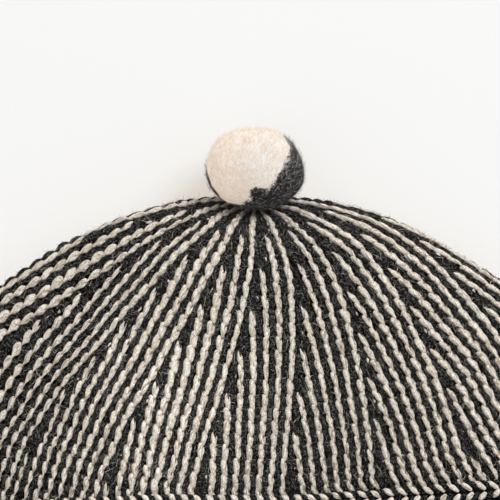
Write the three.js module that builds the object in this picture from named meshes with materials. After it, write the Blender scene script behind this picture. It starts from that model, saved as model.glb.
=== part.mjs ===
// Knit cap with a turned-up cuff and a felt ball, lying on its back.
// Millimetres. +Z is up, +Y runs from the brim to the ball, +X to the right.
import * as THREE from 'three';

// Knit and clearances
const wall = 3;
const cuffWall = 3.2;
const gap = 0.3;

// Felt ball, a little flattened where it is sewn on
const ball = { halfWidth: 15.2, halfDepth: 13.3, halfHeight: 14.8, y: 11.1, z: 18.5 };
const ballProfilePoints = 14;
const ballTurnPoints = 28;

// Cast-on edge, an oval rope
const edgeHalfHeight = 2.2;
const edgeHalfThickness = cuffWall / 2;
const edgeSides = 8;

// Fineness of the surface
const pointsOver = 26;
const pointsInCorner = 4;
const pointsUnder = 14;
const stepsPerSection = 2;
const lipPoints = 5;

// The lower corner that a fold makes with the surface below
const cornerWidth = 12;
const cornerShare = 0.6;

// How a course bends in plan: nearly straight in the middle, swept back at the folds
const sweepPower = 2.3;

// The cuff is turned up a little lower on the left: where that starts and is complete,
// as shares of the way from the middle to the left fold
const leanStart = 0.06;
const leanEnd = 0.8;

// Sections, each a closed course around the cap, from the gathered end to the brim. A course
// crosses the middle of the upper face at front and of the lower face at back, and turns over
// the two side folds at plus and minus sideX. full squares the upper face over its folds, and
// 2 is an ellipse. lean is how far the left fold lies nearer the brim than the right one.
// Y is measured from the gathers here, and the finished group is centred.
const columns = ['name', 'sideX', 'sideY', 'sideZ', 'frontY', 'frontZ', 'backY', 'backZ', 'full',
  'lean'];
const sectionRows = [
  ['apex', 0, 3.7, 5.7, 3.7, 5.7, 3.7, 5.7, 2, 0],
  ['gather_tight', 6.5, 4.2, 5.6, -0.5, 9.5, 4.8, 1.0, 2, 0],
  ['gather_loose', 13, 4.0, 6.0, -3.0, 14.0, -0.4, 0, 2, 0],
  ['shoulder', 19, 3.3, 6.5, -5.5, 19.0, -5.5, 0, 2, 0],
  ['decrease_1', 26, 2.1, 7.0, -12.1, 27.3, -15, 0, 2, 0],
  ['decrease_2', 41.6, -2.6, 8.0, -23.5, 33.0, -28, 0, 2, 0],
  ['decrease_3', 55, -8.6, 9.0, -37.9, 35.0, -41, 0, 2, 0],
  ['decrease_4', 67.2, -16.2, 10.0, -51.6, 35.5, -54, 0, 2, 0],
  ['decrease_5', 79, -24.3, 10.5, -66.1, 35.2, -67, 0, 2.2, 0],
  ['decrease_6', 90.8, -34.0, 11.0, -78.6, 34.2, -80, 0, 2.5, 0],
  ['decrease_7', 105.5, -49.5, 11.5, -94.2, 31.8, -92, 0.6, 3, 0],
  ['above_cuff', 118, -69.5, 12.5, -97.4, 30.9, -95.5, 1.8, 4, 5],
  ['edge', 127.5, -91, 13.5, -100.3, 30.0, -100.3, 3.5, 5, 10],
  ['cuff_top', 128.5, -93.8, 13.6, -103.2, 29.6, -103.2, 3.5, 5, 10],
  ['body', 129.5, -117.5, 14.0, -128, 28.4, -128, 3.5, 6, 5],
  ['end', 128, -142, 14.0, -155, 27.6, -155, 3.5, 6, 0],
];
const sections = sectionRows.map((row) =>
  Object.fromEntries(columns.map((column, i) => [column, row[i]])));
const hollowStart = 'shoulder';
const hollowPole = [0, -3.5, 6.5];

const colours = { knit: 0x6f6a63, cuff: 0x77716a, edge: 0x857e74, felt: 0xefe2d2 };

const sectionIndex = (name) => sections.findIndex((section) => section.name === name);
const ringIndex = (name) => sectionIndex(name) * stepsPerSection;
const add = (a, b, scale) => a.map((value, i) => value + b[i] * scale);
const length = (a) => Math.hypot(...a);
const unit = (a) => a.map((value) => value / length(a));
const between = (a, b) => b.map((value, i) => value - a[i]);
const cross = (a, b) => [
  a[1] * b[2] - a[2] * b[1],
  a[2] * b[0] - a[0] * b[2],
  a[0] * b[1] - a[1] * b[0],
];

// Slope of a column at a section, level where the column turns or stays the same
function slopeAt(values, i) {
  if (i === 0) return values[1] - values[0];
  if (i === values.length - 1) return values[i] - values[i - 1];
  const before = values[i] - values[i - 1];
  const after = values[i + 1] - values[i];
  return before * after > 0 ? (2 * before * after) / (before + after) : 0;
}

// A section part of the way to the next one, on smooth curves that never overshoot
function sectionAt(place) {
  const i = Math.min(Math.floor(place), sections.length - 2);
  const t = place - i;
  const blend = {};
  for (const column of columns.slice(1)) {
    const values = sections.map((section) => section[column]);
    blend[column] = (1 + 2 * t) * (1 - t) ** 2 * values[i]
      + t * (1 - t) ** 2 * slopeAt(values, i)
      + t * t * (3 - 2 * t) * values[i + 1]
      + t * t * (t - 1) * slopeAt(values, i + 1);
  }
  return blend;
}

function coursePoint(section, across, z, middleY) {
  const sweep = 1 - Math.abs(across) ** sweepPower;
  const left = Math.min(Math.max((-across - leanStart) / (leanEnd - leanStart), 0), 1);
  const lean = section.lean * left * left * (3 - 2 * left);
  return [section.sideX * across, section.sideY + (middleY - section.sideY) * sweep - lean, z];
}

// One closed course: over the top from the right fold to the left, then back underneath
function coursePoints(section) {
  const over = [];
  for (let i = 0; i < pointsOver; i += 1) {
    const across = Math.cos((Math.PI * i) / pointsOver);
    const rise = Math.sqrt(1 - Math.abs(across) ** section.full);
    const z = section.sideZ + (section.frontZ - section.sideZ) * rise;
    over.push(coursePoint(section, across, z, section.frontY));
  }
  const corner = Math.min(cornerWidth, cornerShare * section.sideX) / section.sideX;
  const drop = section.sideZ - section.backZ;
  const under = [];
  for (let i = 0; i < pointsInCorner; i += 1) {
    const turn = (Math.PI / 2) * (i / pointsInCorner);
    const across = 1 - corner + corner * Math.cos(turn);
    under.push([across, section.sideZ - drop * Math.sin(turn)]);
  }
  for (let i = 0; i <= pointsUnder; i += 1) {
    under.push([(1 - corner) * (1 - (2 * i) / pointsUnder), section.backZ]);
  }
  for (let i = pointsInCorner - 1; i > 0; i -= 1) {
    under.push([-under[i][0], under[i][1]]);
  }
  return [...over, ...under.map(([across, z]) => coursePoint(section, -across, z, section.backY))];
}

// The outer face of the knitting as rings of points, with its direction out and down the cap
function knitFace() {
  const rings = [];
  for (let i = 1; i <= (sections.length - 1) * stepsPerSection; i += 1) {
    rings.push(coursePoints(sectionAt(i / stepsPerSection)));
  }
  const count = rings[0].length;
  const pole = [0, sections[0].frontY, sections[0].frontZ];
  const out = [];
  const along = [];
  rings.forEach((ring, i) => {
    const before = i ? rings[i - 1] : ring.map(() => pole);
    const after = rings[i + 1] ?? ring;
    along.push(ring.map((point, j) => unit(between(before[j], after[j]))));
    out.push(ring.map((point, j) => {
      const around = between(ring[(j + count - 1) % count], ring[(j + 1) % count]);
      return unit(cross(around, along[i][j]));
    }));
  });
  // Ring 0 is the pole, so that a ring has the same number as its step along the sections
  return { pole, rings: [null, ...rings], out: [null, ...out], along: [null, ...along] };
}

// Triangles from closed loops that follow one another, listed so that faces point outwards.
// Each four corners are parted along the shorter way, so that faces side by side part alike.
function joinLoops(loops, closed, triangles) {
  const count = loops[0].length;
  const last = closed ? loops.length : loops.length - 1;
  for (let i = 0; i < last; i += 1) {
    const here = loops[i];
    const next = loops[(i + 1) % loops.length];
    for (let j = 0; j < count; j += 1) {
      const k = (j + 1) % count;
      if (length(between(here[j], next[k])) < length(between(here[k], next[j]))) {
        triangles.push([here[j], here[k], next[k]], [here[j], next[k], next[j]]);
      } else {
        triangles.push([here[j], here[k], next[j]], [here[k], next[k], next[j]]);
      }
    }
  }
}

function joinPole(pole, loop, triangles) {
  loop.forEach((point, j) => triangles.push([pole, loop[(j + 1) % loop.length], point]));
}

function geometryOf(triangles) {
  const geometry = new THREE.BufferGeometry();
  geometry.setAttribute('position', new THREE.Float32BufferAttribute(triangles.flat(2), 3));
  geometry.computeVertexNormals();
  return geometry;
}

function meshOf(name, geometry, colour, roughness) {
  const material = new THREE.MeshStandardMaterial({ color: colour, roughness, metalness: 0 });
  const mesh = new THREE.Mesh(geometry, material);
  mesh.name = name;
  return mesh;
}

// Crown: the outer face, the lining face a wall inside it, and the raw end between them
function makeCrown(face) {
  const outer = face.rings.slice(1);
  const inner = face.rings.slice(ringIndex(hollowStart)).map((ring, i) => {
    const out = face.out[ringIndex(hollowStart) + i];
    return ring.map((point, j) => add(point, out[j], -wall));
  });
  const triangles = [];
  joinPole(face.pole, outer[0], triangles);
  joinLoops([...outer, ...inner.reverse()], false, triangles);
  joinPole(hollowPole, [...inner.at(-1)].reverse(), triangles);
  return meshOf('crown', geometryOf(triangles), colours.knit, 0.95);
}

// Cuff: from its top down the outside of the crown, then rounded under the crown's end
function makeCuff(face) {
  const first = ringIndex('cuff_top');
  const end = ringIndex('end');
  const offsetRing = (i, outwards, onwards = 0) => face.rings[i].map((point, j) =>
    add(add(point, face.out[i][j], outwards), face.along[i][j], onwards));
  const loops = [];
  for (let i = first; i <= end; i += 1) loops.push(offsetRing(i, gap + cuffWall));
  const lipRadius = (wall + gap + cuffWall) / 2;
  for (let i = 0; i <= lipPoints; i += 1) {
    const turn = (Math.PI * i) / lipPoints;
    loops.push(offsetRing(end, lipRadius - wall + lipRadius * Math.cos(turn),
      gap + lipRadius * Math.sin(turn)));
  }
  loops.push(offsetRing(end, gap, gap));
  for (let i = end; i >= first; i -= 1) loops.push(offsetRing(i, gap));
  const triangles = [];
  joinLoops(loops, true, triangles);
  return meshOf('cuff', geometryOf(triangles), colours.cuff, 0.95);
}

// Cast-on edge: an oval rope lying against the crown, just above the cuff
function makeEdge(face) {
  const i = ringIndex('edge');
  const loops = [];
  for (let side = 0; side < edgeSides; side += 1) {
    const turn = (2 * Math.PI * side) / edgeSides;
    const outwards = gap + edgeHalfThickness * (1 + Math.cos(turn));
    const onwards = edgeHalfHeight * Math.sin(turn);
    loops.push(face.rings[i].map((point, j) =>
      add(add(point, face.out[i][j], outwards), face.along[i][j], onwards)));
  }
  const triangles = [];
  joinLoops(loops, true, triangles);
  return meshOf('cast_on_edge', geometryOf(triangles), colours.edge, 0.95);
}

function makePompom() {
  const profile = [];
  for (let i = 0; i <= ballProfilePoints; i += 1) {
    const turn = Math.PI * (i / ballProfilePoints - 0.5);
    const radius = i % ballProfilePoints ? Math.cos(turn) : 0;
    profile.push(new THREE.Vector2(radius, Math.sin(turn)));
  }
  const geometry = new THREE.LatheGeometry(profile, ballTurnPoints);
  geometry.scale(ball.halfWidth, ball.halfDepth, ball.halfHeight);
  geometry.translate(0, ball.y, ball.z);
  return meshOf('pompom', geometry, colours.felt, 0.98);
}

const face = knitFace();
const cap = new THREE.Group();
cap.add(makeCrown(face), makeCuff(face), makeEdge(face), makePompom());

// The origin is under the middle of the whole cap
const box = new THREE.Box3().setFromObject(cap);
cap.position.y = -(box.min.y + box.max.y) / 2;
cap.position.z = -box.min.z;

export default cap;
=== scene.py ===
"""Looks of a striped knitted cap with a felt ball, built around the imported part. Metres, +Z up."""
import math

import bpy
import numpy as np
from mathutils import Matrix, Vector


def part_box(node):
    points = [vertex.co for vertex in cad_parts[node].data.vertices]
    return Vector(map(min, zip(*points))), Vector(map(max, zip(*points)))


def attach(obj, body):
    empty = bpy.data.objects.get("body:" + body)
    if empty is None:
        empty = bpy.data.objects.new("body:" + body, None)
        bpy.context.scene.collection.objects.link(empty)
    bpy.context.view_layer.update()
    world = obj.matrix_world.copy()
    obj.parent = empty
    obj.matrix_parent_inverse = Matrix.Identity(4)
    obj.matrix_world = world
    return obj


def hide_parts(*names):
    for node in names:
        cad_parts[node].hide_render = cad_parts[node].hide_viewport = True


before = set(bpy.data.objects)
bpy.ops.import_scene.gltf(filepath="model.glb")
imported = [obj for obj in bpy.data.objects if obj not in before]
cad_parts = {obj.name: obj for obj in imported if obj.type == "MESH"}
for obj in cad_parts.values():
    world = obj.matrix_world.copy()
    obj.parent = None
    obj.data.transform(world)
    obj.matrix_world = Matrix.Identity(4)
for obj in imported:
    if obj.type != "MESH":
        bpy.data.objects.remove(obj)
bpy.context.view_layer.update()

MM = 0.001

# In millimetres
STITCH_LENGTH = 4.65
WALL, CUFF_GAP, CUFF_WALL = 3.0, 0.3, 3.2

# The crown has sixteen wedges, each with its own line of decreases
WEDGES = 16
HALF_ROUND = WEDGES / 2
SAMPLES_PER_WEDGE = 32
ROWS_PER_SECTION = 16

# ---- The cap's form, in millimetres

# Closed courses around the lying cap, from the ball to the brim: side x, side y, side z, front y,
# front z, back y, back z, how flat the front is, and how far the left side leans down
SECTIONS = np.array([
    [0.0, 3.7, 5.7, 3.7, 5.7, 3.7, 5.7, 2, 0],
    [6.5, 4.2, 5.6, -0.5, 9.5, 4.8, 1.0, 2, 0],
    [13, 4.0, 6.0, -3.0, 14.0, -0.4, 0, 2, 0],
    [19, 3.3, 6.5, -5.5, 19.0, -5.5, 0, 2, 0],
    [26, 2.1, 7.0, -12.1, 27.3, -15, 0, 2, 0],
    [41.6, -2.6, 8.0, -23.5, 33.0, -28, 0, 2, 0],
    [55, -8.6, 9.0, -37.9, 35.0, -41, 0, 2, 0],
    [67.2, -16.2, 10.0, -51.6, 35.5, -54, 0, 2, 0],
    [79, -24.3, 10.5, -66.1, 35.2, -67, 0, 2.2, 0],
    [90.8, -34.0, 11.0, -78.6, 34.2, -80, 0, 2.5, 0],
    [105.5, -49.5, 11.5, -94.2, 31.8, -92, 0.6, 3, 0],
    [118, -69.5, 12.5, -97.4, 30.9, -95.5, 1.8, 4, 5],
    [127.5, -91, 13.5, -100.3, 30.0, -100.3, 3.5, 5, 10],
    [128.5, -93.8, 13.6, -103.2, 29.6, -103.2, 3.5, 5, 10],
    [129.5, -117.5, 14.0, -128, 28.4, -128, 3.5, 6, 5],
    [128, -142, 14.0, -155, 27.6, -155, 3.5, 6, 0],
])
# The sections at which these come
FIRST_DECREASE, LAST_DECREASE, EDGE, CUFF_TOP, END = 4, 10, 12, 13, 15
# The round corner under each fold, how sharply a course turns up to its sides, and where it leans
FOLD_CORNER = 12.0
SWEEP_POWER = 2.3
LEAN_START, LEAN_END = 0.06, 0.8
# Where the ball's middle lies on the courses' own y
BALL_SITS = 11.1
# The crown is drawn in above the cast-on edge, and rippled: its wave is so many wedges long
TUCK, TUCK_REACH = 1.5, 4.2
RIPPLE, RIPPLE_LENGTH, RIPPLE_START = 1.3, 3.2, 0.9
# The cuff's stitches start this many rows of the grid above its top
CUFF_STARTS_BEFORE = 9

ball_low, ball_high = (np.array(corner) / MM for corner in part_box("pompom"))
BALL_CENTRE = (ball_low + ball_high) / 2
BALL_RADII = (ball_high - ball_low) / 2
SHIFT = np.array([0.0, BALL_CENTRE[1] - BALL_SITS, 0.0])


def ramp(value, start, end):
    """0 up to start, 1 from end on, and straight between them."""
    return np.clip((value - start) / (end - start), 0, 1)


def unit(vectors):
    """The same directions, all of length 1."""
    return vectors / np.maximum(np.linalg.norm(vectors, axis=-1, keepdims=True), 1e-9)


def section_slopes(rows):
    """Slopes for a smooth run through the rows that never swings past them."""
    step = np.diff(rows, axis=0)
    before, after = step[:-1], step[1:]
    same_way = before * after > 0
    slopes = np.zeros_like(rows)
    slopes[0], slopes[-1] = step[0], step[-1]
    slopes[1:-1] = np.where(same_way, 2 * before * after / np.where(same_way, before + after, 1), 0)
    return slopes


def sections_at(places):
    """The section numbers at places between the rows of SECTIONS."""
    slopes = section_slopes(SECTIONS)
    i = np.clip(places.astype(int), 0, len(SECTIONS) - 2)
    u = (places - i)[:, None]
    return (SECTIONS[i] * (1 + 2 * u) * (1 - u) ** 2 + slopes[i] * u * (1 - u) ** 2
            + SECTIONS[i + 1] * u * u * (3 - 2 * u) + slopes[i + 1] * u * u * (u - 1))


def evenly(points, count):
    """The same line through count + 1 points at even distances."""
    length = np.r_[0, np.cumsum(np.linalg.norm(np.diff(points, axis=0), axis=1))]
    at = np.linspace(0, length[-1], count + 1)
    return np.stack([np.interp(at, length, points[:, axis]) for axis in range(3)], axis=1)


def course(section):
    """One closed course, evenly spaced, from the middle of the back over the front and round again."""
    side_x, side_y, side_z, front_y, front_z, back_y, back_z, full, lean = section
    side_x = max(side_x, 0.05)

    def point(across, z, middle_y):
        sweep = 1 - np.abs(across) ** SWEEP_POWER
        left = ramp(-across, LEAN_START, LEAN_END)
        y = side_y + (middle_y - side_y) * sweep - lean * left ** 2 * (3 - 2 * left)
        return np.stack([side_x * across, y, z], axis=1)

    across = -np.cos(np.linspace(0, math.pi, 241))
    rise = np.sqrt(np.clip(1 - np.abs(across) ** full, 0, 1))
    over = point(across, side_z + (front_z - side_z) * rise, front_y)
    corner = min(FOLD_CORNER, 0.6 * side_x) / side_x
    turn = np.linspace(0, math.pi / 2, 40)
    under_across = np.r_[1 - corner + corner * np.cos(turn), np.linspace(1 - corner, 0, 60)[1:]]
    under_z = np.r_[side_z - (side_z - back_z) * np.sin(turn), np.full(59, back_z)]
    under_left = point(-under_across[::-1], under_z[::-1], back_y)
    under_right = point(under_across, under_z, back_y)
    return evenly(np.r_[under_left, over[1:-1], under_right], WEDGES * SAMPLES_PER_WEDGE)


class Cloth:
    """A grid of points with normals that can be asked for at any row and place around.

    The place around, t, runs from -8 to 8 wedges, with 0 in the middle of the front.
    """

    def __init__(self, points, normals=None):
        self.points = points
        ring = points[:, :-1]
        around = np.roll(ring, -1, axis=1) - np.roll(ring, 1, axis=1)
        along = np.gradient(points, axis=0)[:, :-1]
        out = unit(np.cross(along, around))
        self.normals = np.concatenate([out, out[:, :1]], axis=1) if normals is None else normals
        lengths = np.linalg.norm(np.diff(points, axis=0), axis=2)
        self.down = np.concatenate([np.zeros((1, points.shape[1])), np.cumsum(lengths, axis=0)])
        self.wedge = np.linalg.norm(np.diff(points, axis=1), axis=2).sum(axis=1) / WEDGES

    def column(self, t):
        return np.mod(t + HALF_ROUND, WEDGES) * SAMPLES_PER_WEDGE

    def look_up(self, grid, row, t):
        row = np.clip(row, 0, grid.shape[0] - 1.001)
        column = np.clip(self.column(t), 0, grid.shape[1] - 1.001)
        r, c = row.astype(int), column.astype(int)
        fr, fc = row - r, column - c
        if grid.ndim == 3:
            fr, fc = fr[..., None], fc[..., None]
        top = grid[r, c] * (1 - fc) + grid[r, c + 1] * fc
        low = grid[r + 1, c] * (1 - fc) + grid[r + 1, c + 1] * fc
        return top * (1 - fr) + low * fr

    def at(self, row, t):
        """Points of the cloth, and the way out of it there."""
        return self.look_up(self.points, row, t), unit(self.look_up(self.normals, row, t))

    def wedge_width(self, row):
        return np.interp(row, np.arange(len(self.points)), self.wedge)

    def rows_at(self, distance, start):
        """For each column, the rows that lie at these distances below the start row."""
        down = self.down - self.down[start]
        return np.stack([np.interp(distance, down[start:, c], np.arange(start, len(down)))
                         for c in range(down.shape[1])], axis=1)


places = np.linspace(0, END, END * ROWS_PER_SECTION + 1)
form = Cloth(np.stack([course(s) for s in sections_at(places)]) + SHIFT)


def crown_surface():
    """The outside of the crown, tucked in above the cast-on edge and gently rippled over the front."""
    above_edge = form.down[EDGE * ROWS_PER_SECTION] - form.down
    tuck = TUCK * np.exp(-(above_edge / TUCK_REACH) ** 2) * (places < CUFF_TOP)[:, None]
    t = np.arange(WEDGES * SAMPLES_PER_WEDGE + 1) / SAMPLES_PER_WEDGE - HALF_ROUND
    fade = ramp(places, 3.5, 7.5) ** 2 * ramp(places, 11.4, 9.9)
    over_front = np.cos(np.clip(t / 9, -0.5, 0.5) * math.pi)
    wave = np.sin((t + RIPPLE_START) * 2 * math.pi / RIPPLE_LENGTH)
    ripple = RIPPLE * fade[:, None] * over_front * wave
    return Cloth(form.points - (tuck + ripple)[..., None] * form.normals)


def cuff_surface():
    """Down the outside of the turned-up cuff, round the brim's lip and up the inside."""
    first, last = CUFF_TOP * ROWS_PER_SECTION - CUFF_STARTS_BEFORE, END * ROWS_PER_SECTION
    points, out = form.points, form.normals
    along = unit(points[last] - points[last - 1])
    radius = (WALL + CUFF_GAP + CUFF_WALL) / 2
    middle = points[last] + out[last] * (CUFF_GAP + CUFF_WALL - radius)
    outside = points[first:last] + out[first:last] * (CUFF_GAP + CUFF_WALL)
    lip_out = [out[last] * math.cos(turn) + along * math.sin(turn)
               for turn in np.linspace(0, math.pi, 11)]
    lip = [middle + radius * away for away in lip_out]
    inner = slice(last - 1, LAST_DECREASE * ROWS_PER_SECTION, -1)
    inside = points[inner] - out[inner] * WALL
    return Cloth(np.concatenate([outside, lip, inside]),
                 np.concatenate([out[first:last], lip_out, -out[inner]]))


crown_cloth = crown_surface()
cuff_cloth = cuff_surface()

# ---- The stripes: rows of stitches, and where each stripe lies across them

# Rows are counted from the ball. The last decrease comes after one more row than the others
ROWS_TO_FIRST = 6
ROWS_PER_DECREASE = 3
ROWS_TO_LAST = 4
ROW_BEFORE_LAST, LAST_ROW = 21, 25
LOWER_ROWS = 12
CUFF_ROWS = 13

# Each decrease starts a stripe, beside the long stripe that runs all the way down its wedge
DECREASES = 7
PAIRS = DECREASES + 1
# On the cuff the stripes lie as if this many decreases lay above them
SETTLED = 9.0

# How far the rows hang down in the middle of the front, in sections
SAG = 0.15

# From a stripe's tip to its left neighbour, in pairs
TIP_GAP = 0.68

# Near the left fold the knitting is wider apart: where and how far, in wedges, and by how much
STRETCHED_AT, STRETCHED_OVER, STRETCHED_BY = -3.5, 0.9, 0.32


def decreases_at(row):
    """How many decreases lie above a row of stitches, counted smoothly."""
    late = DECREASES - 1 + (row - ROW_BEFORE_LAST) / ROWS_TO_LAST
    return np.where(row <= ROW_BEFORE_LAST, row / ROWS_PER_DECREASE - 1, late)


mean_down = crown_cloth.down.mean(axis=1)
first_rows = np.interp(np.linspace(0, mean_down[FIRST_DECREASE * ROWS_PER_SECTION], ROWS_TO_FIRST + 1),
                       mean_down, np.arange(len(mean_down)))
decrease_rows = FIRST_DECREASE + np.arange(1, ROW_BEFORE_LAST - ROWS_TO_FIRST + 1) / ROWS_PER_DECREASE
last_rows = LAST_DECREASE - 1 + np.arange(1, ROWS_TO_LAST + 1) / ROWS_TO_LAST
upper_rows = np.r_[first_rows, decrease_rows * ROWS_PER_SECTION, last_rows * ROWS_PER_SECTION]
lower_rows = crown_cloth.rows_at(np.arange(LOWER_ROWS + 1) * STITCH_LENGTH,
                                 LAST_DECREASE * ROWS_PER_SECTION)


def crowding(k):
    """How closely the wedges lie at the middle of the front, next to their mean."""
    return 0.935 - 0.135 * np.exp((1 - np.clip(k, 1, None)) / 1.9)


def spread(t, k):
    """From wedges counted in the knitting to even wedges round the course, and how many to one."""
    close = crowding(k)
    even = t * (close + (1 - close) * (t / HALF_ROUND) ** 2)
    from_fold = (even - STRETCHED_AT) / STRETCHED_OVER
    stretch = STRETCHED_BY * np.exp(-from_fold ** 2)
    widening = close + 3 * (1 - close) * (t / HALF_ROUND) ** 2
    return even + (even - STRETCHED_AT) * stretch, widening * (1 + stretch * (1 - 2 * from_fold ** 2))


def crown_row(row, t):
    """The grid row of the crown's surface at a row of stitches."""
    upper = np.interp(row, np.arange(len(upper_rows)), upper_rows)
    lower = crown_cloth.look_up(lower_rows, np.clip(row - LAST_ROW, 0, None), t)
    sag = SAG * ramp(row, 10, 18)
    return np.where(row <= LAST_ROW, upper, lower) - ROWS_PER_SECTION * sag * np.cos(t * math.pi / 4)


cuff_down = cuff_cloth.down.mean(axis=1)


def cuff_row(row, t):
    """The grid row of the cuff's surface at a row of stitches, the same all the way round."""
    return np.interp(row * STITCH_LENGTH, cuff_down, np.arange(len(cuff_down))) + 0 * t


def tip_gap(k):
    """From a new stripe's tip to its left neighbour, in pairs."""
    return TIP_GAP + 0.65 * np.exp((1 - k) / 0.9)


def pair_width(k):
    """Width of one cream and black pair, in wedges."""
    k = np.maximum(k, 1)
    below_last = PAIRS - (1 - TIP_GAP) * np.exp(DECREASES - k)
    return 1 / np.where(k < DECREASES, k + tip_gap(k), below_last)


def long_stripe(k):
    """Where the stripe that never ends lies, in wedges right of its wedge's middle."""
    k = np.maximum(k, 1)
    turning = np.minimum(k, DECREASES)
    swing = (0.72 * np.log(turning + 0.5) - 0.84 + 0.1 * np.exp((1 - turning) * 2)
             + 0.06 * (1 - np.exp(turning - k)))
    return -swing - tip_gap(k) * pair_width(k)


def cream_half(width_mm, t):
    """Half the width of a cream stripe: the knitting is tighter in some places round the cap."""
    wave = 1 + 0.14 * np.cos((t + RIPPLE_START) * 2 * math.pi / RIPPLE_LENGTH)
    not_behind = ramp(np.abs(t), 7, 5.5)
    side = -0.07 * ramp(t, 1, 2.5) + 0.16 * ramp(t, 2.2, 3.1) - 0.03 * ramp(t, -1.9, -2.5)
    widest = 1.16 + 0.4 * np.exp(-((t - STRETCHED_AT) / STRETCHED_OVER) ** 2)
    return np.clip(0.275 * width_mm, 0.55, widest) * wave * (1 + side * not_behind)


def drop(k, t, down):
    """How much fuller a stitch is at each place down it: low down round the middle, high up at the sides."""
    low = ramp(k, 4.5, 6.5)
    most = 0.85 - 1.25 * ramp(t, 0.6, 1.6)
    heavy = np.minimum(np.maximum((t + 2.35 - 0.95 * low) * 2.2, -1.1 - 1.1 * low), most)
    taper = np.where(heavy > 0, ramp(down, 0.35, 0.95), ramp(down, 0.48, 0.90))
    return (taper * 0.42 - 0.11) * heavy * ramp(np.abs(t), 6.5, 4.5)


def fold_lift(row, t, down):
    """How black stitches stand out at the left fold, with a bump each, and sink high on the right one."""
    at_fold = ramp(np.abs(t), 3.85, 4.05) * ramp(np.abs(t), 5.4, 4.9)
    bump = 0.3 + 0.9 * np.sin(math.pi * np.clip(down, 0, 1))
    return at_fold * np.where(t < 0, bump * ramp(row, 11, 13), -0.6 * ramp(row, 17, 15))


class Stitches:
    """A batch of stitches of one colour.

    A stitch has its row, its wedge, how many pairs and what share of a wedge it lies left of the
    long stripe, the black gap that it fills, its side of that gap, and whether it starts a stripe.
    """

    def __init__(self):
        self.stitches = []

    def add(self, row, wedge, step, share=0.0, gap=(0.0, 0.0), span=0.0, tip=0.0):
        self.stitches.append((row, wedge, step, share, span, *gap, tip))

    def arrays(self):
        return np.array(self.stitches, float).T


def crown_stitches():
    cream, black = Stitches(), Stitches()
    before = 0
    for row in range(LAST_ROW + LOWER_ROWS):
        k = float(decreases_at(row + 0.5))
        stripes = min(max(math.floor(k + 1e-6), 0), DECREASES - 1) if row <= LAST_ROW else DECREASES
        new = stripes > before
        before = stripes
        for wedge in range(WEDGES):
            for i in range(stripes + 1):
                cream.add(row, wedge, i, tip=float(new and i == stripes))
            for i in range(stripes):
                black.add(row, wedge, i + 0.5, gap=(1.0, 0.0))
            gap = (-float(stripes), 1.0)
            wide = 1 / pair_width(k) - stripes > 1.3
            for span in (-0.4, 0.4) if wide else (0.0,):
                black.add(row, wedge, stripes / 2, 0.5, gap, span)
    return cream, black


def tip_flecks():
    """The last of a stripe's yarn, showing through just above its tip."""
    flecks = Stitches()
    local = np.random.default_rng(17)
    for stripes in range(1, DECREASES + 1):
        row = ROWS_PER_DECREASE * (stripes + 1) if stripes < DECREASES else LAST_ROW
        for above in (0.75, 1.4):
            for wedge in np.flatnonzero(local.random(WEDGES) < 0.6):
                place = row - above - local.uniform(-0.2, 0.2)
                flecks.add(place, wedge, decreases_at(place) - local.uniform(-0.05, 0.2))
    return flecks


def cuff_stitches():
    cream, black = Stitches(), Stitches()
    for row in range(CUFF_ROWS):
        for wedge in range(WEDGES):
            for i in range(PAIRS):
                cream.add(row, wedge, i)
                black.add(row, wedge, i + 0.5, gap=(1.0, 0.0))
    return cream, black


# The two legs of a stitch, from their upper to their lower end: how far down the stitch, how far
# across its half width, radius as a share of that, and height over the cloth in millimetres
LEFT_LEG = np.array([
    [-0.06, -0.22, 0.24, -0.90],
    [0.03, -0.36, 0.56, -0.20],
    [0.16, -0.40, 0.72, 0.10],
    [0.37, -0.32, 0.75, 0.20],
    [0.61, -0.14, 0.72, 0.12],
    [0.85, 0.10, 0.65, -0.08],
    [1.07, 0.24, 0.54, -0.28],
    [1.32, 0.34, 0.25, -0.92],
])
RIGHT_LEG = np.array([
    [0.16, 0.40, 0.15, -0.95],
    [0.32, 0.54, 0.38, -0.38],
    [0.50, 0.60, 0.46, -0.20],
    [0.68, 0.52, 0.46, -0.18],
    [0.86, 0.38, 0.40, -0.32],
    [1.02, 0.24, 0.30, -0.54],
    [1.16, 0.14, 0.14, -0.95],
])

# A fleck of yarn, in the same four columns
FLECK = np.array([
    [-0.10, 0.10, 0.10, -0.90],
    [-0.02, 0.08, 0.70, -0.30],
    [0.12, 0.04, 0.85, -0.18],
    [0.26, 0.00, 0.55, -0.30],
    [0.36, 0.00, 0.10, -0.90],
])


def leg_table(table, nodes):
    """The table's four columns at evenly spaced nodes."""
    at = np.linspace(0, len(table) - 1, nodes)
    return np.stack([np.interp(at, np.arange(len(table)), table[:, c]) for c in range(4)])


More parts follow.
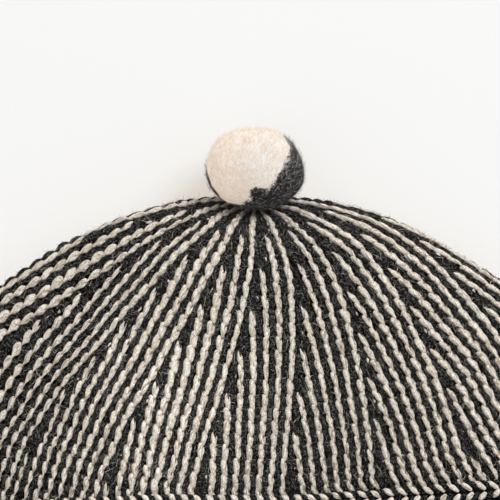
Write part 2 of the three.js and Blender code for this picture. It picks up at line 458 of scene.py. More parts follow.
class Legs:
    """One leg of every stitch in a batch, swept as half a tube that sinks into the cloth."""

    def __init__(self, cloth, row_of, batch, table, nodes, sides, height=0.0, fat=1.0,
                 keep=None, settle=None):
        rows, wedges, steps, shares, spans, gap_pairs, gap_whole, tips = batch[..., None]
        count = len(rows)
        local = np.random.default_rng(int(1000 * fat) + len(table) * 7 + count)
        down, across, radius, top = leg_table(table, nodes)
        # The stitches of a column waver together
        column = np.round(wedges * 31 + steps * 4 + shares * 9).astype(int)[:, 0] % 4096
        waves = np.random.default_rng(5).uniform(0, 6.3, (4096, 4))[column][:, :, None]
        # Where the stitch lies
        row = rows + down + local.normal(0, 0.03, (count, 1))
        k = decreases_at(row) if settle is None else np.full_like(row, settle)
        pair = pair_width(k)
        knit = wedges - HALF_ROUND + long_stripe(k) - steps * pair - shares
        t, density = spread(np.mod(knit + HALF_ROUND, WEDGES) - HALF_ROUND, k)
        t = t - WEDGES * np.round((t - t[:, :1]) / WEDGES)
        # How wide it is: black stitches fill what the cream stripes leave
        width = cloth.wedge_width(row_of(row, t))
        pair = np.where(k < 1, 1.0, pair) * density
        half = cream_half(pair * width, t)
        gap = (gap_pairs * pair + gap_whole * density) * width
        half = np.where(gap > 0, np.clip(gap / 2 - half + 0.12, 0.55, 2.6), half)
        t = t + spans * half / width
        half = np.minimum(np.where(spans != 0, half * 0.66, half), 1.45)
        # How uneven it is
        wobble = 0.10 * np.sin(row * 1.25 + waves[:, 0]) + 0.07 * np.sin(row * 3.1 + waves[:, 1])
        lean = local.normal(1, 0.13, (count, 1)) * (1 + 0.15 * np.sin(waves[:, 2]))
        size = (fat * local.normal(1, 0.12, (count, 1)).clip(0.76, 1.3)
                * (1 + 0.10 * np.sin(waves[:, 3]) + 0.06 * np.sin(row * 0.9 + waves[:, 2])))
        t = t + (across * half * lean + wobble) / width
        place = row_of(row, t)
        size = size * (1 - 0.3 * ramp(place / ROWS_PER_SECTION, EDGE - 2, EDGE - 1) ** 2)
        centre, self.normal = cloth.at(place, t)
        point = 1 - tips * np.clip(0.9 + 1.8 * down[0] - 1.4 * down, 0, 0.7)
        self.radius = (radius * half * size * (1 + drop(k, t, down)) * point
                       * local.normal(1, 0.095, (count, nodes)))
        self.thick = np.minimum(self.radius, 0.8)
        # How high it stands
        lift = top + height + local.normal(0, 0.06, (count, 1))
        lift = lift - 0.3 * ramp(t, 0.3, 1.3) * np.clip(across + 0.1, 0, 0.6)
        if settle is None:
            lift = lift + (gap > 0) * fold_lift(row, t, down)
        self.centre = centre + self.normal * (lift - self.thick)[..., None]
        self.ahead = unit(np.gradient(self.centre, axis=1))
        self.beside = unit(np.cross(self.ahead, self.normal))
        self.turn = np.linspace(math.radians(-25), math.radians(205), sides)
        self.chance = local.random(count)
        # How high each node of the leg lies, 0 at the low ends and 1 on top: it steers the cream wool's
        # painted shade
        self.rise = np.broadcast_to(ramp(top, -0.75, -0.05), self.radius.shape)
        if keep is not None:
            shown = keep(row_of(row, t)[:, 0], t[:, nodes // 2])
            for part in ("normal", "radius", "thick", "centre", "ahead", "beside", "chance", "rise"):
                setattr(self, part, getattr(self, part)[shown])

    def surface(self, leg, node, turn):
        """Points on the yarn, and the way out of it there."""
        beside, normal = self.beside[leg, node], self.normal[leg, node]
        out = beside * np.cos(turn)[..., None] + normal * np.sin(turn)[..., None]
        point = (self.centre[leg, node] + beside * (self.radius[leg, node] * np.cos(turn))[..., None]
                 + normal * (self.thick[leg, node] * np.sin(turn))[..., None])
        return point, out

    def mesh(self):
        """Points, their strand and crest values, and quads."""
        count, nodes = self.radius.shape
        sides = len(self.turn)
        leg, node, side = np.indices((count, nodes, sides))
        turn = self.turn[side]
        points, out = self.surface(leg, node, turn)
        points += out * np.random.default_rng(count).normal(0, 0.06, turn.shape)[..., None]
        steps = np.linalg.norm(np.diff(self.centre, axis=1), axis=2)
        length = np.concatenate([np.zeros((count, 1)), np.cumsum(steps, axis=1)], axis=1)
        chance = self.chance[leg]
        strand = np.stack([length[leg, node] + 40 * chance, self.radius[leg, node] * turn, chance], axis=-1)
        # Lower at the tube's sides than on its top: where this value is low the cream wool gets painted shade
        crest = self.rise[leg, node] * (0.35 + 0.65 * np.clip(np.sin(turn) * 1.3, 0, 1))
        return points.reshape(-1, 3), strand.reshape(-1, 3), crest.ravel(), tube_faces(count, nodes, sides)


def tube_faces(count, nodes, sides):
    """Quads of open tubes whose points run tube by tube, node by node and then round."""
    base = (np.arange(count) * nodes * sides)[:, None, None]
    n = np.arange(nodes - 1)[None, :, None] * sides
    s = np.arange(sides - 1)[None, None, :]
    first = (base + n + s).ravel()
    return np.stack([first, first + 1, first + sides + 1, first + sides], axis=1)


# ---- Meshes

def make_mesh(name, points, faces, strand=None, crest=None, smooth=True, lowest=0.0):
    """A mesh object from points in millimetres and faces that all have the same count of corners."""
    points = np.maximum(points, [-1e4, -1e4, lowest])
    mesh = bpy.data.meshes.new(name)
    corners = faces.shape[1]
    mesh.vertices.add(len(points))
    mesh.vertices.foreach_set("co", (points * MM).astype(np.float32).ravel())
    mesh.loops.add(faces.size)
    mesh.loops.foreach_set("vertex_index", faces.astype(np.int32).ravel())
    mesh.polygons.add(len(faces))
    mesh.polygons.foreach_set("loop_start", np.arange(0, faces.size, corners, dtype=np.int32))
    mesh.polygons.foreach_set("loop_total", np.full(len(faces), corners, np.int32))
    mesh.polygons.foreach_set("use_smooth", np.full(len(faces), smooth))
    mesh.update(calc_edges=True)
    mesh.validate()
    if strand is not None:
        layer = mesh.attributes.new("strand", "FLOAT_VECTOR", "POINT")
        layer.data.foreach_set("vector", strand.astype(np.float32).ravel())
    if crest is not None:
        layer = mesh.attributes.new("crest", "FLOAT", "POINT")
        layer.data.foreach_set("value", crest.astype(np.float32).ravel())
    piece = bpy.data.objects.new(name, mesh)
    bpy.context.scene.collection.objects.link(piece)
    return piece


def joined(name, parts):
    """Joins swept legs into one mesh."""
    starts = np.cumsum([0] + [len(part[0]) for part in parts])
    faces = [part[3] + start for part, start in zip(parts, starts)]
    points, strand, crest = (np.concatenate([part[i] for part in parts]) for i in range(3))
    return make_mesh(name, points, np.concatenate(faces), strand, crest)


def grid_faces(rows, columns):
    first = (np.arange(rows - 1)[:, None] * columns + np.arange(columns - 1)).ravel()
    return np.stack([first, first + 1, first + columns + 1, first + columns], axis=1)


# ---- Materials

class Field:
    """A shader value that can be used in arithmetic: each operation adds its Math node."""

    def __init__(self, paint, socket):
        self.paint, self.socket = paint, socket

    def math(self, operation, *values):
        return self.paint.add("ShaderNodeMath", {"operation": operation}, *values)

    def __add__(self, other):
        return self.math("ADD", self, other)

    def __mul__(self, other):
        return self.math("MULTIPLY", self, other)

    def __sub__(self, other):
        return self.math("SUBTRACT", self, other)

    def __rsub__(self, other):
        return self.math("SUBTRACT", other, self)

    __radd__, __rmul__ = __add__, __mul__

    def size(self):
        return self.math("ABSOLUTE", self)

    def sine(self):
        return self.math("SINE", self)

    def fraction(self):
        return self.math("FRACT", self)

    def between(self, low, high):
        """0 at low, 1 at high, with a smooth step from one to the other."""
        smooth = {"interpolation_type": "SMOOTHSTEP"}
        return self.paint.add("ShaderNodeMapRange", smooth, self, low, high, 0.0, 1.0)


class Paint:
    """One material and the nodes that make it."""

    def __init__(self, name, roughness=0.9, **constants):
        self.material = bpy.data.materials.new(name)
        self.material.use_nodes = True
        self.tree = self.material.node_tree
        self.surface = self.tree.nodes["Principled BSDF"]
        self.surface.inputs["Roughness"].default_value = roughness
        for label, value in constants.items():
            self.surface.inputs[label.replace("_", " ")].default_value = value

    def add(self, kind, settings=None, *values, at=None, output=0):
        """Adds a node: its settings first, then values or links for its sockets, in order or by label."""
        node = self.tree.nodes.new(kind)
        for key, value in (settings or {}).items():
            setattr(node, key, value)
        for key, value in [*enumerate(values), *(at or {}).items()]:
            if isinstance(value, Field):
                self.tree.links.new(value.socket, node.inputs[key])
            else:
                node.inputs[key].default_value = value
        return Field(self, node.outputs[output])

    def strand(self):
        """Along the yarn, around it (both in millimetres), and a number for each stitch."""
        return self.split(self.add("ShaderNodeAttribute", {"attribute_name": "strand"}, output=1))

    def crest(self):
        """1 on top of the yarn, 0 where it dips under its neighbours: it sets where painted shade darkens the
        cream wool.
        """
        return self.add("ShaderNodeAttribute", {"attribute_name": "crest"}, output=2)

    def split(self, vector):
        node = self.add("ShaderNodeSeparateXYZ", None, vector).socket.node
        return [Field(self, part) for part in node.outputs]

    def vector(self, x, y, z):
        return self.add("ShaderNodeCombineXYZ", None, x, y, z)

    def position(self):
        return self.add("ShaderNodeTexCoord", None, output=3)

    def noise(self, place, scale, detail=2.0, roughness=0.5):
        return self.add("ShaderNodeTexNoise", None,
                        at={"Vector": place, "Scale": scale, "Detail": detail, "Roughness": roughness})

    def mix(self, mask, first, second):
        return self.add("ShaderNodeMix", {"data_type": "RGBA"}, at={0: mask, 6: first, 7: second}, output=2)

    def set(self, label, value):
        """Lets a value that varies over the surface feed one of its inputs."""
        self.tree.links.new(value.socket, self.surface.inputs[label])

    def finish(self, colour, height=None, distance=0.0003, strength=1.0):
        self.set("Base Color", colour)
        if height is not None:
            self.set("Normal", self.add("ShaderNodeBump", None, at={
                "Strength": strength, "Distance": distance, "Height": height}))
        return self.material


def rgb(red, green, blue):
    """A colour from the values that a screen shows, 0 to 255."""
    def linear(v):
        v /= 255
        return v / 12.92 if v < 0.04045 else ((v + 0.055) / 1.055) ** 2.4
    return (linear(red), linear(green), linear(blue), 1.0)


def cream_wool():
    paint = Paint("cream_wool", 0.92, Specular_IOR_Level=0.15, Sheen_Weight=0.05, Sheen_Roughness=0.6)
    along, around, chance = paint.strand()
    twist = around + along * 0.28
    fibres = paint.noise(paint.vector(along * 0.5, twist * 3.4, chance * 40), 1.0, 3.0, 0.65)
    plies = paint.noise(paint.vector(along * 0.25, twist * 1.8, chance * 90), 1.0, 1.0, 0.5)
    grain = paint.noise(paint.position(), 1500.0, 2.0, 0.6)
    hairs = hairs_over(paint, 1200.0, 0.05)
    tone = paint.mix(chance, rgb(246, 237, 223), rgb(255, 250, 240))
    crest = paint.crest()
    # Painted shade: the yarn is painted tan where it dips under its neighbours, at its legs' ends and sides,
    # and deep brown in the lowest creases
    tone = paint.mix(crest.between(0.10, 0.75), rgb(188, 169, 146), tone)
    tone = paint.mix(crest.between(0.52, 0.15) * 0.75, tone, rgb(118, 94, 74))
    # Darker lines and specks between fibres and plies: painted shade in the yarn's fine gaps; the grain also
    # mottles the wool's own tone
    tone = paint.mix(fibres.between(0.48, 0.36) * 0.5, tone, rgb(160, 138, 112))
    tone = paint.mix(plies.between(0.42, 0.32) * 0.6, tone, rgb(128, 107, 84))
    tone = paint.mix(grain.between(0.46, 0.30) * 0.45, tone, rgb(138, 117, 94))
    tone = paint.mix(hairs * 0.15, tone, rgb(110, 92, 74))
    return paint.finish(tone, fibres * 0.6 + plies * 0.7 + grain * 0.9 + hairs * 0.3, 0.0006, 0.8)


def hairs_over(paint, scale, reach=0.06):
    """Thin crooked lines, as fine hairs lie over wool: where a noise crosses its middle value."""
    place = paint.position()
    lines = 0.0
    for stretch, grow in (((1.0, 0.45, 1.0), 1.0), ((0.45, 1.0, 0.8), 1.15), ((0.8, 0.8, 0.5), 0.8)):
        bent = paint.add("ShaderNodeMapping", {"vector_type": "POINT"}, place,
                         (grow, 2 * grow, 3 * grow), (0.5, 0.3 * grow, 0.7 * grow),
                         tuple(scale * grow * v for v in stretch))
        off = (paint.noise(bent, 1.0, 2.0, 0.5) - 0.5).size()
        lines = off.between(reach, reach * 0.2) + lines
    broken = paint.noise(place, scale * 1.4, 2.0, 0.5).between(0.42, 0.62)
    return lines * broken


def black_wool():
    paint = Paint("black_wool", 0.95, Specular_IOR_Level=0.04, Sheen_Weight=0.015, Sheen_Roughness=0.5)
    along, around, chance = paint.strand()
    twist = around + along * 0.28
    fibres = paint.noise(paint.vector(along * 0.7, twist * 6.0, chance * 40), 1.0, 3.0, 0.65)
    hairs = hairs_over(paint, 1300.0, 0.045)
    tone = paint.mix(chance, rgb(3, 3, 3), rgb(10, 9, 9))
    tone = paint.mix(fibres.between(0.55, 0.8) * 0.35, tone, rgb(44, 44, 46))
    tone = paint.mix(hairs * 0.32, tone, rgb(132, 132, 131))
    return paint.finish(tone, fibres + hairs * 0.6, 0.0005, 0.5)


def dark_backing():
    paint = Paint("backing_wool", 0.97, Specular_IOR_Level=0.05)
    place = paint.position()
    grain = paint.noise(place, 1400.0, 3.0, 0.7)
    tone = paint.mix(grain.between(0.5, 0.8), rgb(10, 9, 9), rgb(40, 39, 40))
    return paint.finish(tone, grain, 0.0004, 0.8)


def lining_wool():
    """The cap's inside: the same stripes with short bars of yarn across them."""
    paint = Paint("lining_wool", 0.95, Specular_IOR_Level=0.12, Sheen_Weight=0.05)
    down, around, fade = paint.strand()
    from_middle = ((around * float(PAIRS)).fraction() - 0.5).size()
    cream_mask = from_middle.between(0.27, 0.23)
    bars = (down * (2 * math.pi / 2.3)).sine() * 0.5 + 0.5
    fibres = paint.noise(paint.vector(down * 3.0, around * 12.0, fade), 1.0, 3.0, 0.6)
    grain = paint.noise(paint.position(), 900.0, 3.0, 0.6)
    tone = paint.mix(cream_mask, rgb(38, 37, 37), rgb(214, 203, 187))
    tone = paint.mix(grain.between(0.5, 0.35) * 0.5, tone, rgb(70, 62, 54))
    return paint.finish(tone, bars * 0.8 + fibres * 0.4 + grain * 0.5, 0.0008, 0.9)


def hair_wool(name, light, dark):
    """Loose hairs, some lighter than others."""
    paint = Paint(name, 0.85, Specular_IOR_Level=0.3)
    _, _, chance = paint.strand()
    return paint.finish(paint.mix(chance.between(0.3, 1.0), dark, light))


def felt_areas(paint, place):
    """Where the ball is charcoal, and where its top, which the key lamp lights most, gets painted grey
    against that light: masks from 0 to 1.
    """
    ragged = ((paint.noise(place, 260.0, 3.0, 0.6) - 0.5) * 0.0055
              + (paint.noise(place, 2600.0, 3.0, 0.7) - 0.5) * 0.0060)
    centre = (BALL_CENTRE * MM).tolist()
    x, y, z = (part - middle for part, middle in zip(paint.split(place), centre))
    right = x * 0.669 + y * -0.417 + z * -0.618 + ragged
    tongue = paint.add("ShaderNodeVectorMath", {"operation": "DISTANCE"}, place,
                       (centre[0] + 0.0002, centre[1] - 0.0100, centre[2] + 0.0100), output=1)
    right = (right + tongue.between(0.0040, 0.0012) * 0.0036).between(-0.0003, 0.0001)
    left = (x * -0.80 + y * -0.35 + z * -0.49 + ragged * 0.5).between(0.0114, 0.0117)
    both = right + left
    dark = both.math("MINIMUM", both, 1.0)
    # The second mask is the top, turned towards the key lamp: painted shade there holds back the lamp's
    # highlight
    return dark, (x * 0.45 + z * 0.89).between(0.003, 0.013)


def felt(name, fibre=False):
    """The ball's matted wool, or the loose fibres on it, both with a faint painted glow."""
    # Painted light: the cream felt glows faintly, so its shaded side stays bright; the charcoal patch hardly
    # glows
    paint = Paint(name, 0.95, Specular_IOR_Level=0.06, Sheen_Weight=0.03, Sheen_Roughness=0.6,
                  Emission_Strength=0.34)
    place = paint.position()
    dark, lit_top_greyed = felt_areas(paint, place)
    paint.set("Emission Color", paint.mix(dark, (1.0, 0.87, 0.74, 1.0), (0.03, 0.03, 0.03, 1.0)))
    if fibre:
        _, _, chance = paint.strand()
        cream = paint.mix(chance, rgb(152, 124, 98), rgb(214, 207, 198))
        coal = paint.mix(chance.between(0.45, 0.95), rgb(16, 16, 17), rgb(215, 213, 210))
        return paint.finish(paint.mix(dark, cream, coal))
    mottle = paint.noise(place, 300.0, 3.0, 0.6)
    bent = paint.add("ShaderNodeMapping", {"vector_type": "POINT"}, place, (0.0, 0.0, 0.0),
                     (0.0, 0.0, 0.25), (2300.0, 480.0, 1100.0))
    fibres = paint.noise(bent, 1.0, 3.0, 0.65)
    grain = paint.noise(place, 2600.0, 3.0, 0.7)
    cream = paint.mix(mottle.between(0.65, 0.30), rgb(217, 212, 204), rgb(202, 186, 171))
    # Painted shade: the lit top of the ball is painted a cooler grey, to hold back the key lamp's highlight
    cream = paint.mix(lit_top_greyed * 0.9, cream, rgb(188, 194, 200))
    cream = paint.mix(fibres.between(0.50, 0.72) * 0.65, cream, rgb(184, 160, 138))
    coal = paint.mix(grain.between(0.5, 0.75), rgb(20, 20, 21), rgb(52, 52, 53))
    return paint.finish(paint.mix(dark, cream, coal), grain * 0.5 + fibres, 0.0005, 0.2)


# ---- Crown and cuff: stitches over a backing

# The crown's stitches end under the cast-on edge, and the front ones reach just past the folds
HIDDEN_ROW = 12.5 * ROWS_PER_SECTION
FRONT_REACH = 4.1
BLACK_SINKS = 0.04
BACKING_DEPTH = 1.25


def show(piece, material, node=None):
    """Gives a piece its material and its place in the frame."""
    piece.data.materials.append(material)
    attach(piece, "root")
    if node:
        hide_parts(node)


def in_front(t):
    return np.abs(np.mod(t + HALF_ROUND, WEDGES) - HALF_ROUND) < FRONT_REACH


def front(grid_row, t):
    return in_front(t) & (grid_row < HIDDEN_ROW)


def back(grid_row, t):
    return ~in_front(t) & (grid_row < HIDDEN_ROW)


def build_knitting(name, cloth, row_of, batches, wools, fine, node, keep=None, settle=None):
    """Both colours of stitches over one part of the cloth. Returns the legs, for their loose hairs."""
    kept = {}
    for colour, height, batch, wool, shapes in zip(
            ("cream", "black"), (0.0, -BLACK_SINKS), batches, wools, fine):
        legs = [Legs(cloth, row_of, batch, table, *shape, height, fat, keep, settle)
                for table, fat, shape in zip((LEFT_LEG, RIGHT_LEG), (1.0, 1.05), shapes)]
        show(joined(f"{colour}_{name}", [leg.mesh() for leg in legs]), wool, node)
        kept[colour] = legs
    return kept


def build_layer(name, cloth, depth, rows, wool, node, lining=False):
    """A plain sheet under the stitches, or the striped lining, which has its face to the inside."""
    columns = np.arange(0, WEDGES * SAMPLES_PER_WEDGE + 1, 4)
    part = np.ix_(rows, columns)
    points = cloth.points[part] - depth * cloth.normals[part]
    faces, strand = grid_faces(*points.shape[:2]), None
    if lining:
        faces, down = faces[:, ::-1], cloth.down[part]
        around = np.broadcast_to(columns / SAMPLES_PER_WEDGE, down.shape)
        strand = np.stack([down, around, 0 * down], axis=-1).reshape(-1, 3)
    show(make_mesh(name, points.reshape(-1, 3), faces, strand), wool, node)


def build_layers(backing, lining):
    end = END * ROWS_PER_SECTION + 1
    build_layer("crown_backing", crown_cloth, BACKING_DEPTH, np.arange(4, end, 4), backing, "crown")
    build_layer("crown_lining", crown_cloth, WALL - 0.1, np.arange(3 * ROWS_PER_SECTION, end, 4),
                lining, "crown", True)
    build_layer("cuff_backing", cuff_cloth, BACKING_DEPTH, np.arange(0, len(cuff_cloth.points) - 60, 2),
                backing, "cuff")


# ---- Cast-on edge: a chain of sideways stitches in the two colours

# How far the chain lies above the crown's lower end, and how much more towards the left
EDGE_RISE, LEFT_RISE = 2.5, 0.7
EDGE_SPREAD, EDGE_LENGTH, EDGE_THICKNESS = 1.2, 1.3, 0.9
EDGE_NODES, EDGE_SIDES = 7, 7
# Along the edge in pairs, across it, radius and height over the form, in millimetres
EDGE_LEG = np.array([
    [-0.08, 0.92, 0.40, 1.9],
    [-0.02, 0.97, 0.80, 2.8],
    [0.08, 0.90, 0.98, 3.25],
    [0.21, 0.70, 1.02, 3.4],
    [0.33, 0.46, 0.94, 3.2],
    [0.43, 0.22, 0.72, 2.8],
    [0.50, 0.06, 0.40, 2.1],
])


def on_edge(t, down, height):
    """Points of the cast-on edge: down it and out from the crown's form, in millimetres."""
    edge = EDGE * ROWS_PER_SECTION
    section = (form.look_up(form.down, np.full_like(t, edge + 8.0), t)
               - form.look_up(form.down, np.full_like(t, edge - 8.0), t))
    rise = EDGE_RISE + LEFT_RISE * ramp(t, 1.6, -0.4) * ramp(t, -5, -3)
    centre, normal = form.at(edge + (down - rise) / section * ROWS_PER_SECTION, t)
    return centre + normal * height[..., None], normal


def chain_legs(offset, mirror):
    """The upper or lower legs of one colour of the chain, one for each pair round the cap."""
    count = WEDGES * PAIRS
    local = np.random.default_rng(40 + mirror + int(offset * 4))
    down, across, radius, top = leg_table(EDGE_LEG, EDGE_NODES)
    pairs = np.arange(count)[:, None] + offset + down * EDGE_LENGTH + local.normal(0, 0.04, (count, 1))
    r = (radius * EDGE_THICKNESS * local.normal(1, 0.07, (count, 1))
         * local.normal(1, 0.05, (count, EDGE_NODES)))
    along = -mirror * across * EDGE_SPREAD + local.normal(0, 0.08, (count, 1))
    centre, normal = on_edge(pairs / PAIRS - HALF_ROUND, along, top + 0.2 - r)
    beside = unit(np.cross(unit(np.gradient(centre, axis=1)), normal))
    turn = np.linspace(math.radians(-50), math.radians(230), EDGE_SIDES)
    ring = (centre[:, :, None] + beside[:, :, None] * (r[..., None] * np.cos(turn))[..., None]
            + normal[:, :, None] * (r[..., None] * np.sin(turn))[..., None])
    length = np.linspace(0, 5, EDGE_NODES)[None, :, None]
    chance = local.random((count, 1, 1))
    strand = np.stack(np.broadcast_arrays(length + 40 * chance, r[..., None] * turn, chance), axis=-1)
    # Lower at the sides of each leg: the cream wool paints shade there
    crest = np.broadcast_to(np.clip(np.sin(turn) + 0.3, 0.2, 1), strand.shape[:3])
    return (ring.reshape(-1, 3), strand.reshape(-1, 3), crest.ravel(),
            tube_faces(count, EDGE_NODES, EDGE_SIDES))


def build_edge(cream, black, backing):
    t, turn = np.meshgrid(np.linspace(-8, 8, 385), np.linspace(0, 2 * math.pi, 9), indexing="ij")
    core, _ = on_edge(t, 1.5 * np.cos(turn) + 0.3, 1.5 - 1.2 * np.sin(turn))
    show(make_mesh("edge_backing", core.reshape(-1, 3), grid_faces(*core.shape[:2])), backing,
         "cast_on_edge")
    for colour, wool, offset in (("cream", cream, 0.0), ("black", black, 0.5)):
        show(joined(f"{colour}_edge_chain", [chain_legs(offset, mirror) for mirror in (1, -1)]),
             wool, "cast_on_edge")


# ---- Loose fibres: thin ribbons that lie on the wool and lift at their ends

def ribbons(name, root, normal, ahead, length, width, lift, curl, chance):
    """One thin ribbon from each root, flat along its way and pointed at its end."""
    beside = np.cross(ahead, normal)
    stations = np.array([0.0, 0.5, 1.0])
    height = lift[:, None] * np.array([0.0, 0.7, 1.0])
    bow = curl[:, None] * np.array([0.0, 0.5, 1.9])
    line = (root[:, None] + ahead[:, None] * (length[:, None] * stations)[..., None]
            + normal[:, None] * height[..., None] + beside[:, None] * bow[..., None])
    half = beside[:, None] * width[:, None, None] * 0.5
    left, right = line[:, :2] - half, line[:, :2] + half
    points = np.stack([left[:, 0], right[:, 0], left[:, 1], right[:, 1], line[:, 2]], axis=1)
    base = (np.arange(len(root)) * 5)[:, None]
    faces = np.concatenate([base + np.array([corners]) for corners in ((0, 1, 3), (0, 3, 2), (2, 3, 4))])
    strand = np.zeros(points.shape)
    strand[..., 2] = chance[:, None]
    return make_mesh(name, points.reshape(-1, 3), faces, strand.reshape(-1, 3), smooth=False)


def turned(normal, angle):
    """A direction in the plane across each normal."""
    guide = np.where(np.abs(normal[:, 1:2]) < 0.9, [[0.0, 1.0, 0.0]], [[1.0, 0.0, 0.0]])
    first = unit(np.cross(guide, normal))
    second = np.cross(normal, first)
    return first * np.cos(angle)[:, None] + second * np.sin(angle)[:, None]


def build_hairs(name, legs, material, count, length, width, lift, stray, seed, curl=0.3):
    """Loose hairs rooted all over the yarn of some legs: length, width and lift run between two values."""
    local = np.random.default_rng(seed)
    groups = []
    for leg, share in zip(legs, (0.65, 0.35)):
        n = int(count * share)
        pick = local.integers(0, len(leg.chance), n)
        node = local.integers(1, leg.radius.shape[1] - 1, n)
        turn = np.radians(local.uniform(15, 165, n))
        root, out = leg.surface(pick, node, turn)
        ahead = leg.ahead[pick, node]
        across = np.cross(out, ahead)
        angle = local.normal(0, stray, n) + math.pi * local.integers(0, 2, n)
        way = ahead * np.cos(angle)[:, None] + across * np.sin(angle)[:, None]
        slide = ahead * local.uniform(-0.35, 0.35, n)[:, None]
        groups.append((root + slide - 0.04 * out, out, way))
    root, out, way = (np.concatenate(part) for part in zip(*groups))
    n = len(root)
    up = np.where(out[:, 2] < 0, 0.4, 1.0)
    lengths, widths = local.uniform(*length, n), local.uniform(*width, n)
    lifts = (local.uniform(*lift, n) + 0.9 * local.random(n) ** 8) * up
    show(ribbons(name, root, out, way, lengths, widths, lifts, local.normal(0, curl, n), local.random(n)),
         material)


# ---- Felt ball

def lumps(direction, seed, count=14, waves=(2.0, 5.0)):
    """A smooth uneven swell over the ball's directions, from waves that run every way."""
    local = np.random.default_rng(seed)
    axes = local.normal(size=(count, 3))
    axes *= (local.uniform(*waves, count) / np.linalg.norm(axes, axis=1))[:, None]
    phase = local.uniform(0, 6.283, count)
    return np.sin(direction @ axes.T + phase).mean(axis=-1)


# Where the ball bulges or dips: degrees from its right side, how much, and how narrow
BULGES = ((-50, 0.05, 3), (195, 0.045, 6), (-15, 0.05, 10), (-46, -0.07, 40), (154, 0.035, 6),
          (45, -0.02, 6), (92, -0.03, 6))


def ball_point(direction):
    """Points on the ball's uneven outside, in these directions from its middle."""
    swell = 0.965 + 0.045 * lumps(direction, 3) + 0.014 * lumps(direction, 4, 20, (8, 16))
    swell += 0.045 * (2 * direction[..., 0] * direction[..., 1]) ** 2
    for degrees, amount, narrow in BULGES:
        way = np.array([math.cos(math.radians(degrees)), math.sin(math.radians(degrees)), 0.1])
        swell += amount * np.clip(direction @ way, 0, 1) ** narrow
    return BALL_CENTRE + direction * BALL_RADII * swell[..., None]


def build_ball():
    across, up = 128, 80
    turn = np.linspace(0, 2 * math.pi, across, endpoint=False)
    rise = np.linspace(0, math.pi, up + 1)[1:-1, None]
    direction = np.stack([np.sin(rise) * np.cos(turn), np.sin(rise) * np.sin(turn),
                          np.cos(rise) + 0 * turn], axis=-1)
    points = ball_point(direction).reshape(-1, 3)
    poles = ball_point(np.array([[0, 0, 1.0], [0, 0, -1.0]]))
    ring = np.arange(across)
    ahead = (ring + 1) % across
    rows = np.arange(up - 2)[:, None] * across
    quads = np.stack([rows + ring, rows + across + ring, rows + across + ahead, rows + ahead],
                     axis=-1).reshape(-1, 4)
    last = (up - 2) * across
    top, bottom = np.full(across, len(points)), np.full(across, len(points) + 1)
    triangles = np.concatenate([quads[:, [0, 1, 2]], quads[:, [0, 2, 3]],
                                np.stack([ring, ahead, top], axis=1),
                                np.stack([ahead + last, ring + last, bottom], axis=1)])
    show(make_mesh("felt_ball", np.concatenate([points, poles]), triangles), felt("felt"), "pompom")


def build_ball_fibres(count=14000):
    local = np.random.default_rng(11)
    way = unit(local.normal(size=(count, 3)))
    root, normal = ball_point(way), unit(way / BALL_RADII)
    ahead = turned(normal, local.normal(math.pi / 2, 0.75, count))
    lengths, widths = local.uniform(0.8, 2.6, count), local.uniform(0.05, 0.11, count)
    lifts = local.uniform(0.02, 0.25, count) + 1.3 * local.random(count) ** 4
    show(ribbons("felt_fibres", root - 0.05 * normal, normal, ahead, lengths, widths, lifts,
                 local.normal(0, 0.3, count), local.random(count)),
         felt("felt_fibre", True))


# ---- Floor, light and camera

def build_stage():
    reach, below = 3000.0, -0.05
    corners = [[-reach, -reach, below], [reach, -reach, below], [reach, reach, below], [-reach, reach, below]]
    floor = make_mesh("floor", np.array(corners), np.array([[0, 1, 2, 3]]), smooth=False, lowest=-1.0)
    paint = Paint("floor_paper", 0.8, Specular_IOR_Level=0.05, Base_Color=(0.32, 0.41, 0.49, 1),
                  Emission_Color=(0.582, 0.487, 0.398, 1), Emission_Strength=1.0)
    floor.data.materials.append(paint.material)
    world = bpy.data.worlds.new("studio")
    world.use_nodes = True
    sky = world.node_tree.nodes["Background"].inputs
    sky["Color"].default_value, sky["Strength"].default_value = (1.0, 0.975, 0.94, 1), 0.62
    bpy.context.scene.world = world
    hang_lamp("key", "AREA", (1.3, 1.25, 2.0), (0, 0, 0), size=1.3, energy=45)
    hang_lamp("fill", "AREA", (-1.3, 1.6, 1.3), (0, 0, 0), size=1.5, energy=5)
    hang_lamp("window_patch", "SPOT", (0.12, 0.06, 0.6), (-0.027, SHIFT[1] * MM - 0.070, 0.032),
              energy=3.8, spot_size=math.radians(9), spot_blend=1.0, shadow_soft_size=0.02)


def hang_lamp(name, kind, place, target, **settings):
    lamp = bpy.data.lights.new(name, kind)
    for key, value in settings.items():
        setattr(lamp, key, value)
    holder = bpy.data.objects.new(name, lamp)
    holder.location = place
    holder.rotation_euler = (Vector(place) - Vector(target)).to_track_quat("Z", "Y").to_euler()
    bpy.context.scene.collection.objects.link(holder)


def build_camera():
    lens = bpy.data.cameras.new("camera")
    camera = bpy.data.objects.new("camera", lens)
    target = (-0.0016, SHIFT[1] * MM - 0.01397, 0.010)
    reach, tilt, view_width = 1.6, math.radians(80), 0.160
    camera.location = (target[0], target[1] - reach * math.cos(tilt), target[2] + reach * math.sin(tilt))
    camera.rotation_euler = (math.pi / 2 - tilt, 0, 0)
    lens.sensor_width = 36
    lens.lens = lens.sensor_width * reach / view_width
    bpy.context.scene.collection.objects.link(camera)
    bpy.context.scene.camera = camera
    bpy.context.scene.view_settings.view_transform = "Standard"


# ---- The whole cap

# How fine the stitches are: nodes and sides of left and right legs, cream and then black
FRONT_FINE = (((8, 6), (7, 5)), ((6, 5), (5, 5)))
BACK_FINE = (((6, 5), (5, 4)),) * 2
CUFF_FINE = (((6, 4), (5, 4)),) * 2

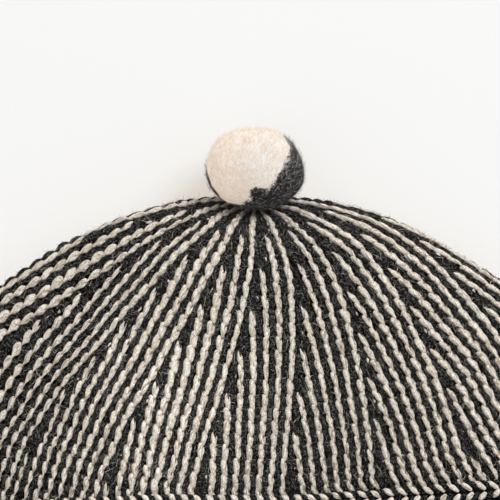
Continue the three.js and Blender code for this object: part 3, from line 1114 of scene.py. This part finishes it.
build_camera()
build_stage()
cream, black = wools = cream_wool(), black_wool()
backing = dark_backing()
build_layers(backing, lining_wool())
crown_batches = [stitches.arrays() for stitches in crown_stitches()]
cuff_batches = [stitches.arrays() for stitches in cuff_stitches()]
front_legs = build_knitting("stitches_front", crown_cloth, crown_row, crown_batches, wools, FRONT_FINE,
                            "crown", front)
back_legs = build_knitting("stitches_back", crown_cloth, crown_row, crown_batches, wools, BACK_FINE,
                           "crown", back)
fleck_legs = Legs(crown_cloth, crown_row, tip_flecks().arrays(), FLECK, 5, 5, fat=0.5)
show(joined("tip_flecks", [fleck_legs.mesh()]), cream, "crown")
cuff_legs = build_knitting("cuff_stitches", cuff_cloth, cuff_row, cuff_batches, wools, CUFF_FINE,
                           "cuff", settle=SETTLED)
build_edge(cream, black, backing)
black_hair = hair_wool("black_hair", rgb(178, 176, 171), rgb(18, 18, 19))
cream_hair = hair_wool("cream_hair", rgb(250, 242, 230), rgb(130, 108, 84))
long_hair = hair_wool("long_hair", rgb(225, 220, 210), rgb(90, 89, 86))
build_hairs("black_wool_hairs", front_legs["black"], black_hair, count=32000,
            length=(0.5, 1.7), width=(0.05, 0.09), lift=(0.05, 0.5), stray=1.2, seed=21)
build_hairs("cream_wool_hairs", front_legs["cream"], cream_hair, count=29000,
            length=(0.6, 1.9), width=(0.06, 0.11), lift=(0.03, 0.35), stray=1.1, seed=22)
build_hairs("long_hairs", front_legs["black"], long_hair, count=2600,
            length=(2.0, 4.6), width=(0.06, 0.09), lift=(0.15, 0.6), stray=1.3, seed=26, curl=0.8)
build_hairs("back_wool_hairs", back_legs["black"], black_hair, count=5000,
            length=(0.5, 1.9), width=(0.04, 0.07), lift=(0.05, 0.3), stray=1.1, seed=23)
build_hairs("black_cuff_hairs", cuff_legs["black"], black_hair, count=8000,
            length=(0.5, 1.7), width=(0.06, 0.10), lift=(0.05, 0.4), stray=1.2, seed=24)
build_hairs("cream_cuff_hairs", cuff_legs["cream"], cream_hair, count=7000,
            length=(0.5, 1.7), width=(0.06, 0.11), lift=(0.03, 0.25), stray=0.6, seed=25)
build_ball()
build_ball_fibres()
